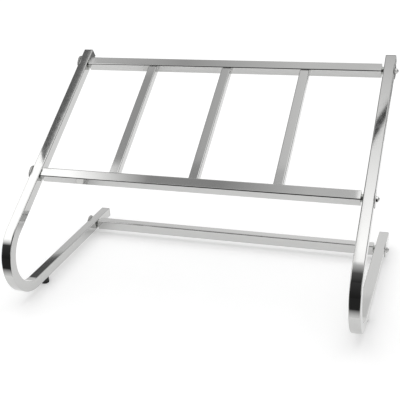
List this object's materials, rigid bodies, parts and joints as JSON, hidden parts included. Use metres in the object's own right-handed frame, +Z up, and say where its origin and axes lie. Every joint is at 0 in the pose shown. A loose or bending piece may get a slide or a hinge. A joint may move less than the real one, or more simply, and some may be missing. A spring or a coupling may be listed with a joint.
{
  "type": "tilted luggage rack",
  "caption": "Tilted luggage rack of chromed square tube: two bent side frames, a slatted deck and a floor rail, bolted together on rubber feet.",
  "frame": {"origin": "on the floor under the centre of the rack's width and depth", "axes": "+X along the rails, the rack's longest side; +Y to the back, from the front bends towards the floor arms' ends; +Z up"},
  "size_m": [0.6648, 0.4311, 0.4002],
  "materials": {
    "frame_chrome": "polished chrome plating on steel tube",
    "slat_chrome": "polished chrome plating on steel tube",
    "washer_chrome": "polished chrome plating",
    "nut_chrome": "polished chrome plating",
    "insert_zinc": "bright zinc plating",
    "fastener_zinc": "zinc plating",
    "plug_plastic": "moulded dark grey plastic",
    "foot_rubber": "matt black rubber"
  },
  "bodies": {
    "root": {"left_side_frame": "frame_chrome", "right_side_frame": "frame_chrome", "top_rail": "frame_chrome", "lower_rail": "frame_chrome", "rear_rail": "frame_chrome", "slat_left": "slat_chrome", "slat_centre": "slat_chrome", "slat_right": "slat_chrome", "left_arm_plug": "plug_plastic", "right_arm_plug": "plug_plastic", "left_floor_plug": "plug_plastic", "right_floor_plug": "plug_plastic", "top_left_insert": "insert_zinc", "top_left_stud": "fastener_zinc", "top_left_washer": "washer_chrome", "top_left_cap_nut": "nut_chrome", "top_right_insert": "insert_zinc", "top_right_stud": "fastener_zinc", "top_right_washer": "washer_chrome", "top_right_cap_nut": "nut_chrome", "lower_left_insert": "insert_zinc", "lower_left_stud": "fastener_zinc", "lower_left_washer": "washer_chrome", "lower_left_cap_nut": "nut_chrome", "lower_right_insert": "insert_zinc", "lower_right_stud": "fastener_zinc", "lower_right_washer": "washer_chrome", "lower_right_cap_nut": "nut_chrome", "rear_left_insert": "insert_zinc", "rear_left_stud": "fastener_zinc", "rear_left_washer": "washer_chrome", "rear_left_cap_nut": "nut_chrome", "rear_right_insert": "insert_zinc", "rear_right_stud": "fastener_zinc", "rear_right_washer": "washer_chrome", "rear_right_cap_nut": "nut_chrome", "front_left_foot": "foot_rubber", "front_left_foot_screw": "fastener_zinc", "front_right_foot": "foot_rubber", "front_right_foot_screw": "fastener_zinc", "rear_left_foot": "foot_rubber", "rear_left_foot_screw": "fastener_zinc", "rear_right_foot": "foot_rubber", "rear_right_foot_screw": "fastener_zinc"}
  },
  "joints": []
}
